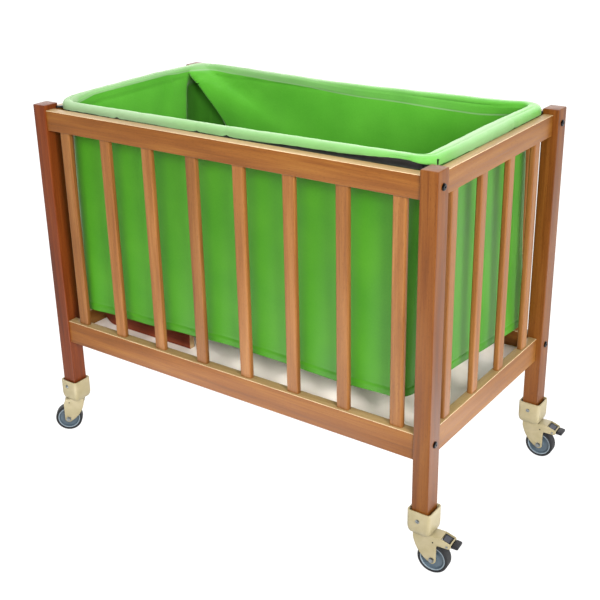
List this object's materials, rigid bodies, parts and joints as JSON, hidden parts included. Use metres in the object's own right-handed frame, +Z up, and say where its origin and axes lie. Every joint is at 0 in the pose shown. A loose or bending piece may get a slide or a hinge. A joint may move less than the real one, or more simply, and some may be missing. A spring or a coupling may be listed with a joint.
{
  "type": "pediatric hospital cot",
  "caption": "Slatted wooden hospital cot for a child, on swivel castors with foot brakes, with a hung open-top cloth liner over a base board.",
  "frame": {"origin": "on the floor, under the middle of the whole cot's box at rest, castors and brake pedals included", "axes": "+X along the cot towards the end with the braked castors, +Y from the front long side to the back, +Z up"},
  "size_m": [1.3514, 0.7193, 1.0216],
  "materials": {
    "post_wood": "satin lacquer, red-brown",
    "rail_wood": "satin lacquer, honey brown",
    "slat_wood": "satin lacquer, honey brown",
    "white_board": "white melamine face",
    "bearer_wood": "oiled, red-brown",
    "black_steel": "black powder coat",
    "coated_cloth": "green coated cloth, soft sheen",
    "cream_steel": "cream powder coat",
    "wheel_hub": "blue-grey moulded plastic",
    "tyre_rubber": "grey thermoplastic rubber",
    "brake_plastic": "charcoal moulded plastic"
  },
  "bodies": {
    "cot_frame": {"post_front_left": "post_wood", "post_front_right": "post_wood", "post_back_left": "post_wood", "post_back_right": "post_wood", "top_rail_front": "rail_wood", "top_rail_back": "rail_wood", "top_rail_left": "rail_wood", "top_rail_right": "rail_wood", "bottom_rail_front": "rail_wood", "bottom_rail_back": "rail_wood", "bottom_rail_left": "rail_wood", "bottom_rail_right": "rail_wood", "slat_front_1": "slat_wood", "slat_front_2": "slat_wood", "slat_front_3": "slat_wood", "slat_front_4": "slat_wood", "slat_front_5": "slat_wood", "slat_front_6": "slat_wood", "slat_front_7": "slat_wood", "slat_front_8": "slat_wood", "slat_back_1": "slat_wood", "slat_back_2": "slat_wood", "slat_back_3": "slat_wood", "slat_back_4": "slat_wood", "slat_back_5": "slat_wood", "slat_back_6": "slat_wood", "slat_back_7": "slat_wood", "slat_back_8": "slat_wood", "slat_left_1": "slat_wood", "slat_left_2": "slat_wood", "slat_left_3": "slat_wood", "slat_left_4": "slat_wood", "slat_right_1": "slat_wood", "slat_right_2": "slat_wood", "slat_right_3": "slat_wood", "slat_right_4": "slat_wood", "base_board": "white_board", "bearer_front": "bearer_wood", "bearer_back": "bearer_wood", "liner_frame": "black_steel", "liner": "coated_cloth", "socket_front_left": "cream_steel", "socket_front_right": "cream_steel", "socket_back_left": "cream_steel", "socket_back_right": "cream_steel"},
    "castor_front_left": {"fork_front_left": "cream_steel"},
    "wheel_front_left": {"hub_front_left": "wheel_hub", "tyre_front_left": "tyre_rubber"},
    "castor_front_right": {"fork_front_right": "cream_steel"},
    "wheel_front_right": {"hub_front_right": "wheel_hub", "tyre_front_right": "tyre_rubber"},
    "castor_back_left": {"fork_back_left": "cream_steel"},
    "wheel_back_left": {"hub_back_left": "wheel_hub", "tyre_back_left": "tyre_rubber"},
    "castor_back_right": {"fork_back_right": "cream_steel"},
    "wheel_back_right": {"hub_back_right": "wheel_hub", "tyre_back_right": "tyre_rubber"},
    "brake_front_right": {"brake_pedal_front_right": "brake_plastic"},
    "brake_back_right": {"brake_pedal_back_right": "brake_plastic"}
  },
  "joints": [
    {"name": "swivel_front_left", "type": "hinge", "parent": "cot_frame", "child": "castor_front_left", "pos_m": [-0.61395, -0.30462, 0.10696], "axis": [0, 0, 1], "continuous": true},
    {"name": "spin_front_left", "type": "hinge", "parent": "castor_front_left", "child": "wheel_front_left", "pos_m": [-0.63693, -0.3239, 0.03966], "axis": [0.6428, -0.766, 0], "continuous": true},
    {"name": "swivel_front_right", "type": "hinge", "parent": "cot_frame", "child": "castor_front_right", "pos_m": [0.58205, -0.30462, 0.10696], "axis": [0, 0, 1], "continuous": true},
    {"name": "spin_front_right", "type": "hinge", "parent": "castor_front_right", "child": "wheel_front_right", "pos_m": [0.61193, -0.302, 0.03966], "axis": [-0.0872, 0.9962, 0], "continuous": true},
    {"name": "swivel_back_left", "type": "hinge", "parent": "cot_frame", "child": "castor_back_left", "pos_m": [-0.61395, 0.32938, 0.10696], "axis": [0, 0, 1], "continuous": true},
    {"name": "spin_back_left", "type": "hinge", "parent": "castor_back_left", "child": "wheel_back_left", "pos_m": [-0.61395, 0.29938, 0.03966], "axis": [1, 0, 0], "continuous": true},
    {"name": "swivel_back_right", "type": "hinge", "parent": "cot_frame", "child": "castor_back_right", "pos_m": [0.58205, 0.32938, 0.10696], "axis": [0, 0, 1], "continuous": true},
    {"name": "spin_back_right", "type": "hinge", "parent": "castor_back_right", "child": "wheel_back_right", "pos_m": [0.61203, 0.33043, 0.03966], "axis": [-0.0349, 0.9994, 0], "continuous": true},
    {"name": "brake_front_right", "type": "hinge", "parent": "castor_front_right", "child": "brake_front_right", "pos_m": [0.64979, -0.29869, 0.09016], "axis": [-0.0872, 0.9962, 0], "range_deg": [0, 12]},
    {"name": "brake_back_right", "type": "hinge", "parent": "castor_back_right", "child": "brake_back_right", "pos_m": [0.65001, 0.33176, 0.09016], "axis": [-0.0349, 0.9994, 0], "range_deg": [0, 12]}
  ]
}
